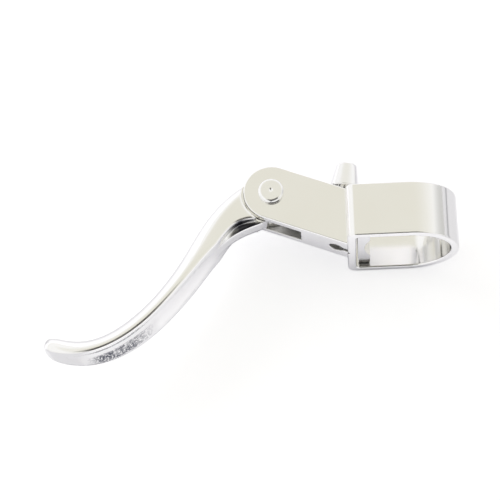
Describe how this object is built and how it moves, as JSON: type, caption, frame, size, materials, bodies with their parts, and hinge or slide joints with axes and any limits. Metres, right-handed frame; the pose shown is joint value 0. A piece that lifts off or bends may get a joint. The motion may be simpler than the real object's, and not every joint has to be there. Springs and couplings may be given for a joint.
{
  "type": "bicycle brake lever",
  "caption": "In-line brake lever: a strap bent round the handlebar forms the cheeks that carry a curved polished lever, whose short arm pushes a turned cable-casing stop.",
  "frame": {"origin": "on the handlebar's axis, at the middle of the strap's width", "axes": "+Y along the handlebar, toward the side of the cable stop; +X from the lever across the bar; +Z along the pivot pin, toward its turned head"},
  "size_m": [0.1085, 0.051, 0.0266],
  "materials": {
    "bracket": "polished",
    "lever": "polished",
    "pin": "polished",
    "bush": "machined",
    "thrust_washer": "matte",
    "stop": "turned",
    "plate": "satin",
    "screw": "blackened"
  },
  "bodies": {
    "bracket": {"bracket": "bracket", "pivot_pin": "pin", "rivet_washer": "pin", "washer_near": "thrust_washer", "washer_far": "thrust_washer"},
    "lever": {"lever": "lever", "pivot_bush": "bush", "cable_stop": "stop"},
    "clamp": {"pressure_plate": "plate"},
    "screw": {"clamp_screw": "screw"}
  },
  "joints": [
    {"name": "lever_pivot", "type": "hinge", "parent": "bracket", "child": "lever", "pos_m": [-0.0351, 0.0092, 0], "axis": [0, 0, 1], "range_deg": [0, 26]},
    {"name": "clamp_travel", "type": "slide", "parent": "bracket", "child": "clamp", "axis": [1, 0, 0], "range_m": [0, 0.001]},
    {"name": "screw_turn", "type": "hinge", "parent": "clamp", "child": "screw", "pos_m": [-0.0145, 0.0016, 0], "axis": [1, 0, 0], "range_deg": [0, 515]}
  ],
  "couplings": [
    {"joint": "screw_turn", "follows": "clamp_travel", "rad_per_m": 8976}
  ]
}
